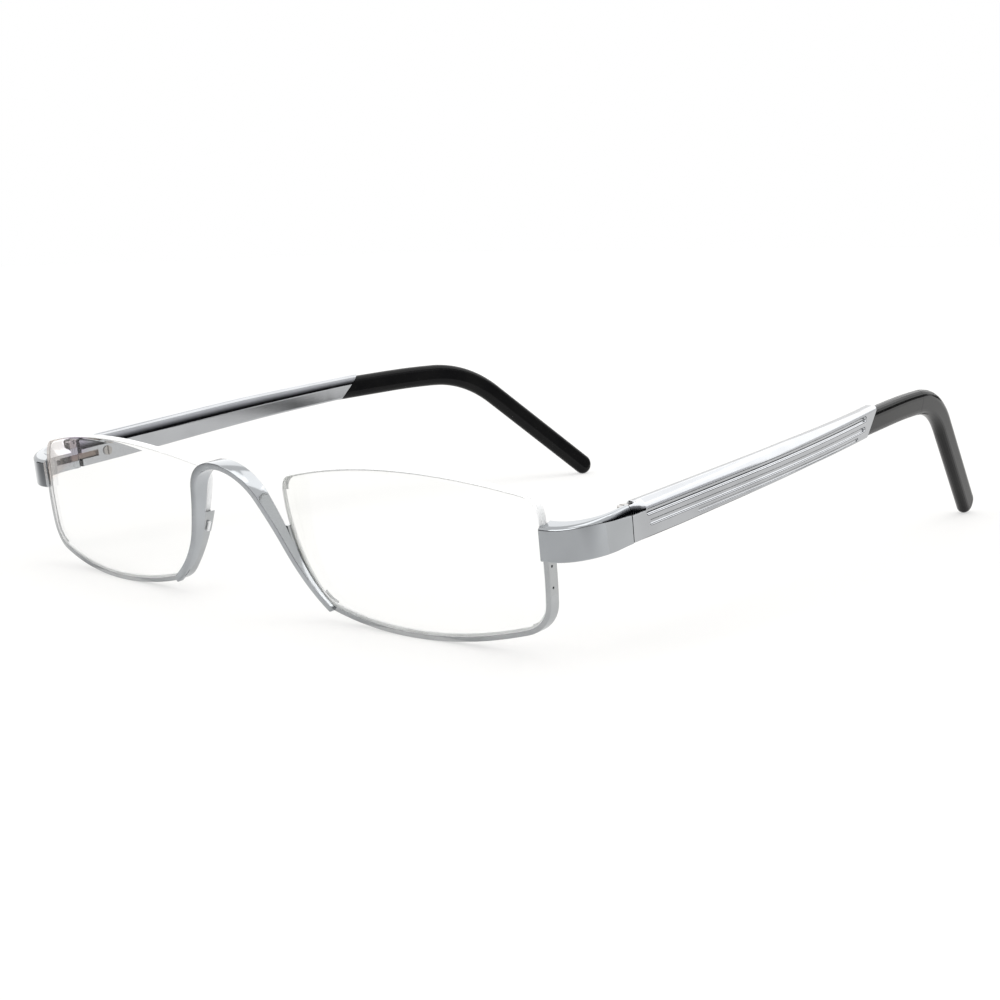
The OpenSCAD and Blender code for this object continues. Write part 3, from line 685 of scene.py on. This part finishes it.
def end_ring(side, y_run, turn, front):
    """One section: y_run back from the pin, then turned round the corner, then carried on towards the lens"""
    a = math.radians(turn)
    run = END_START - y_run + END_R * a + front
    tall = EDGE_LOW + (EDGE_TALL - EDGE_LOW) * max(0.0, 1 - run / EDGE_FALL_RUN) ** EDGE_FALL_POWER

    def at(x, up, down=0.0, from_low=False):
        r = END_R - PIN_OUT + x
        px = PIN_OUT - END_R + r * math.cos(a) - front if turn else x
        py = -END_RUN - r * math.sin(a) if turn else y_run
        top, low = end_heights(py)
        return px, py, (low + up) if from_low else (top - down)

    outer, inner = PIN_OUT, -PIN_IN
    low_points = ((inner, 0.31), (inner, 0.25), (inner + 0.25, 0), (outer - 0.16, 0), (outer - 0.05, 0.05),
                  (outer, 0.16), (outer, 0.22))
    points = [at(x, up, from_low=True) for x, up in low_points] + [at(outer, 0, tall + 0.05)]
    for e in arc((0, 0), 1, 0, 90, 12):
        points.append(at(outer - EDGE_WIDE + EDGE_WIDE * e.x, 0, tall - tall * e.y))
    forward = share_of(END_R * math.sin(a) - y_run, 0, END_R + END_RUN)
    fall = END_FALL * forward**2
    meets = SLOPE_MEETS - fall * (SLOPE_MEETS + PIN_IN) / (ARM_UP - SLOPE_LOW)
    points += [at(meets + 0.08, 0), at(meets - 0.08, 0, 0.12)]
    px, py, _ = at(inner, 0)
    points.append((px, py, SLOPE_LOW))
    return [stand(side, PIN.x + px, PIN.y + py, PIN.z + ph) for px, py, ph in points]


def end_rings(side):
    rings = [end_ring(side, y, 0, 0) for y in (END_START, -1.8, -2.7, -END_RUN)]
    rings += [end_ring(side, -END_RUN, 90 * i / 26, 0) for i in range(1, 27)]
    return rings + [end_ring(side, -END_RUN, 90, f) for f in (0.3, 0.6, END_FRONT)]


print("endpiece rings", len(end_rings(1)))

# %% Two endpieces with their cut-outs
POCKET_REACH = 0.77
TEE_FRONT, TEE_IN, TEE_OUT, TEE_BACK = -4.1, -2.2, 1.15, END_START - 0.01
TEE = [
    (TEE_IN, TEE_FRONT), (TEE_OUT, TEE_FRONT), (TEE_OUT, TEE_BACK), (PAST, TEE_BACK),
    (PAST, PAST), (-PAST, PAST), (-PAST, TEE_BACK), (TEE_IN, TEE_BACK),
]


def pocket(side):
    back = LENS_T + 1
    spans = ((back, 0.04), (back, 0.85), (back, 1.0), (-0.02, 1.0), (-0.02, 0.85), (-0.02, 0.04))
    return sweep("cut_pocket", [lens_ring(side, POCKET_REACH, depth, scale) for depth, scale in spans])


for word, side in SIDES.items():
    end = sweep(word + "_endpiece_block", end_rings(side))
    join_on(end, cutter("ear", side, disc(EAR_R), "z", -ARM_DOWN, SEAT + 0.4))
    cut(end, cutter("cut_seat", side, disc(EAR_R + EAR_ROOM), "z", SEAT, PAST))
    cut(end, cutter("cut_tongue", side, TEE, "z", TONGUE_LOW, TONGUE_TOP))
    cut(end, pocket(side))
    finish_piece(end, METAL["endpiece"], [word + "_endpiece"], "front", 30)
    print(end.name, "after cuts", len(end.data.polygons))

# %% [markdown]
# ## Dressing the CAD nodes
# Each node that no new piece replaces keeps its solid and gets the finish of its piece. The solids are
# made of small triangles, so they are shaded smooth wherever two faces meet at a small angle.

# %% Materials for the nodes
FINISH = {
    "rim": METAL["rim"], "hinge_screw": METAL["screw"], "stop_screw": METAL["screw"],
    "hinge_slider": METAL["hinge"], "hinge_stop": METAL["hinge"], "rod_nut": METAL["hinge"],
    "hinge_spring": METAL["spring"], "tip_core": METAL["core"], "temple_tip": ACETATE,
    "lens_thread": THREAD, "rim_liner": LINER,
}
NODE_SMOOTH = math.radians(28)


def kind_of(node):
    return node.replace("left_", "").replace("right_", "")


for node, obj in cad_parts.items():
    if obj.hide_render:
        continue
    obj.data.materials.clear()
    obj.data.materials.append(FINISH[kind_of(node)])
    bpy.context.view_layer.objects.active = obj
    obj.select_set(True)
    bpy.ops.object.shade_smooth_by_angle(angle=NODE_SMOOTH)
    obj.select_set(False)
    print(node, len(obj.data.polygons), "faces")

# %% [markdown]
# ## Floor, room and lamps
# The photograph is a white cut-out with very pale shadows. The floor gives out some white light of its
# own and takes the rest from the lamps, so that it is white in the picture and still keeps a shadow. The
# room is white to the eye, to gloss and through glass, and a little darker to everything else.


# %% Floor
def seen_directly(tree):
    path = tree.nodes.new("ShaderNodeLightPath")
    rays = ("Camera", "Glossy", "Transmission")
    eye, gloss, glass = [Sock(tree, path.outputs[f"Is {ray} Ray"]) for ray in rays]
    return eye.math("MAXIMUM", gloss).math("MAXIMUM", glass)


GLOW, FAR_GLOW, GLOW_SPAN = 0.555, 0.34, (0.2, 1.0)
bpy.ops.mesh.primitive_plane_add(size=6, location=(0, 0, 0))
floor = bpy.context.active_object
floor.name = "floor"
edit_mode(True)
bpy.ops.mesh.subdivide(number_cuts=3)
edit_mode(False)
floor.select_set(False)
floor_paint = bpy.data.materials.new("floor_white")
floor_paint.use_nodes = True
tree = floor_paint.node_tree
tree.nodes.remove(tree.nodes["Principled BSDF"])
matt = add(tree, "ShaderNodeBsdfDiffuse", values={"Color": (0.40, 0.395, 0.385, 1)})
spot = add(tree, "ShaderNodeTexCoord", out="Object")
far = add(tree, "ShaderNodeVectorMath", {"operation": "LENGTH"}, [spot], out="Value")
strength = step(far, *GLOW_SPAN) * FAR_GLOW + GLOW
glow = add(tree, "ShaderNodeEmission", values={"Color": (1, 1, 1, 1), "Strength": strength})
both = add(tree, "ShaderNodeAddShader", values=[matt, glow])
plain = add(tree, "ShaderNodeBsdfDiffuse", values={"Color": (0.8, 0.8, 0.8, 1)})
picked = add(tree, "ShaderNodeMixShader", values=[seen_directly(tree), plain, both])
tree.links.new(picked.out, tree.nodes["Material Output"].inputs["Surface"])
floor.data.materials.append(floor_paint)
print("floor", floor.dimensions[:])

# %% Room
ROOM = 0.80
world = bpy.data.worlds.new("room")
bpy.context.scene.world = world
world.use_nodes = True
tree = world.node_tree
tree.links.new((seen_directly(tree) * (1 - ROOM) + ROOM).out, tree.nodes["Background"].inputs["Strength"])
tree.nodes["Background"].inputs["Color"].default_value = (1, 1, 1, 1)
print("room light", ROOM)


# %% Lamps
def lamp(name, at, to, size, power):
    bpy.ops.object.light_add(type="AREA", location=at)
    made = bpy.context.active_object
    made.name = name
    made.data.shape = "RECTANGLE"
    made.data.size, made.data.size_y = size
    made.data.energy = power
    made.rotation_mode = "QUATERNION"
    made.rotation_quaternion = (Vector(to) - Vector(at)).to_track_quat("-Z", "Y")
    made.select_set(False)
    return made


lamp("top_box", (0.1, 0.0, 1.3), (0.0, 0.0, 0.0), (1.2, 0.8), 4.0)
lamp("back_box", (0.35, 1.05, 1.45), (0.0, 0.0, 0.0), (1.3, 0.75), 2.9)
lamp("right_back_box", (0.35, 1.15, 0.85), (0.0, 0.0, 0.02), (0.95, 0.42), 1.4)
lamp("left_back_box", (-0.85, 1.0, 0.78), (0.0, 0.0, 0.02), (1.7, 0.9), 3.3)
lamp("front_box", (-0.1, -1.5, 1.0), (0.0, 0.0, 0.0), (1.6, 0.9), 7.0)


# %% [markdown]
# ## Dark cards
# Polished metal only looks like metal when it mirrors something dark. A photographer sets black and grey
# cards round the glasses and lays a few on the table in front of them. These are seen by gloss alone, so
# they don't shade the floor, and the picture shows none of them.


# %% Card helpers
WALL_R, CARD_LIFT = 1.3, 0.0008


def card_paint(name, low, high, start, end):
    made, tree, shader = new_material(name, Roughness=1.0, Specular_IOR_Level=0.0)
    _, (_, _, z) = place_of(tree)
    feed(tree, mix(step(z, start, end), low, high), shader, "Base Color")
    return made


def gloss_only(card):
    for kind in ("camera", "diffuse", "shadow", "transmission", "volume_scatter"):
        setattr(card, "visible_" + kind, False)
    card.select_set(False)
    print(card.name, len(card.data.polygons), "faces")


def card_wall(name, low, high, first, last, paint):
    """An upright band round the glasses between two heights and two bearings from +X"""
    bpy.ops.mesh.primitive_cylinder_add(vertices=120, radius=WALL_R, depth=high - low,
                                        end_fill_type="NOTHING", location=(0, 0, 0))
    made = bpy.context.active_object
    made.name = name
    edit_mode(True)
    bpy.ops.mesh.select_mode(type="FACE")
    mesh = bmesh.from_edit_mesh(made.data)
    for face in mesh.faces:
        middle = face.calc_center_median()
        bearing = math.degrees(math.atan2(middle.y, middle.x))
        face.select_set(not first <= bearing <= last)
    bpy.ops.mesh.delete(type="FACE")
    bpy.ops.mesh.select_all(action="SELECT")
    bpy.ops.transform.translate(value=(0, 0, (low + high) / 2))
    bpy.ops.mesh.select_mode(type="VERT")
    edit_mode(False)
    made.data.materials.append(paint)
    gloss_only(made)


def floor_card(name, low, high, paint):
    """A sheet of card lying just above the floor, between two corners"""
    bpy.ops.mesh.primitive_plane_add(size=1, location=(0, 0, 0))
    made = bpy.context.active_object
    made.name = name
    edit_mode(True)
    bpy.ops.transform.resize(value=(high[0] - low[0], high[1] - low[1], 1))
    bpy.ops.transform.translate(value=((low[0] + high[0]) / 2, (low[1] + high[1]) / 2, CARD_LIFT))
    bpy.ops.mesh.subdivide(number_cuts=2)
    edit_mode(False)
    made.data.materials.append(paint)
    gloss_only(made)


print("walls stand", WALL_R, "m away")

# %% Cards
BLACK, DUSK, MIST = (0.004, 0.004, 0.005), (0.08, 0.08, 0.085), (0.80, 0.80, 0.83)
card_wall("black_wall", 0.03, 0.30, -30, 82, card_paint("black_card", BLACK, BLACK, 0.0, 1.0))
card_wall("grey_wall", 0.30, 0.85, 0, 57, card_paint("grey_card", DUSK, MIST, 0.30, 0.85))
card_wall("horizon", 0.012, 0.10, 84, 170, card_paint("horizon_card", BLACK, BLACK, 0.0, 1.0))
card_wall("front_wall", 0.03, 0.50, -165, -30, card_paint("front_card", BLACK, DUSK, 0.20, 0.50))
floor_card("dark_strip", (0.061, -0.030), (0.078, 0.005), card_paint("strip_card", BLACK, BLACK, 0.0, 1.0))


# %% Sheet in front
DARK_SPOT = (0.17, -0.11, 0)


def sheet_paint(name, light, dark):
    made, tree, shader = new_material(name, Roughness=1.0, Specular_IOR_Level=0.0)
    point, (x, y, _) = place_of(tree)
    corner = add(tree, "ShaderNodeVectorMath", {"operation": "DISTANCE"}, [point, DARK_SPOT], out="Value")
    by_corner = (1 - step(corner, 0.02, 0.11)) * 0.72
    by_bridge = step(x * -1, 0.01, 0.05) * 0.85
    ahead = step(y * -1, 0.05, 0.11)
    shade = by_corner.math("MAXIMUM", by_bridge).math("MAXIMUM", 0.25) * ahead
    feed(tree, mix(shade, light, dark), shader, "Base Color")
    return made


sheet = sheet_paint("sheet_card", (0.88, 0.88, 0.88), (0.09, 0.092, 0.095))
floor_card("front_sheet", (-0.45, -0.70), (0.45, -0.045), sheet)

# %% [markdown]
# ## Camera
# The place was worked out from the known shape: about 32 cm from the glasses, 9 degrees above the table.
# The three directions of the camera are the columns of its turn.

# %% Camera
TURN, RISE, ROLL = 0.7360577335564952, 0.15824857118467112, -0.021194147035333722
CAMERA_AT = (0.207678, -0.23952, 0.058668)
SENSOR, FOCAL = 36, 1.6971047148748883
back = Vector((math.sin(TURN) * math.cos(RISE), -math.cos(TURN) * math.cos(RISE), math.sin(RISE)))
flat = Vector((math.cos(TURN), math.sin(TURN), 0))
rise = back.cross(flat)
across = math.cos(ROLL) * flat + math.sin(ROLL) * rise
upward = -math.sin(ROLL) * flat + math.cos(ROLL) * rise
bpy.ops.object.camera_add()
camera = bpy.context.active_object
camera.name = "camera"
turned = Matrix((across, upward, back)).transposed().to_4x4()
camera.matrix_world = Matrix.Translation(CAMERA_AT) @ turned
camera.data.sensor_width = SENSOR
camera.data.lens = FOCAL * SENSOR
camera.data.clip_start = 0.01
camera.data.clip_end = 30
camera.select_set(False)
bpy.context.scene.camera = camera
bpy.context.scene.view_settings.view_transform = "Standard"
print("camera lens", round(camera.data.lens, 2))
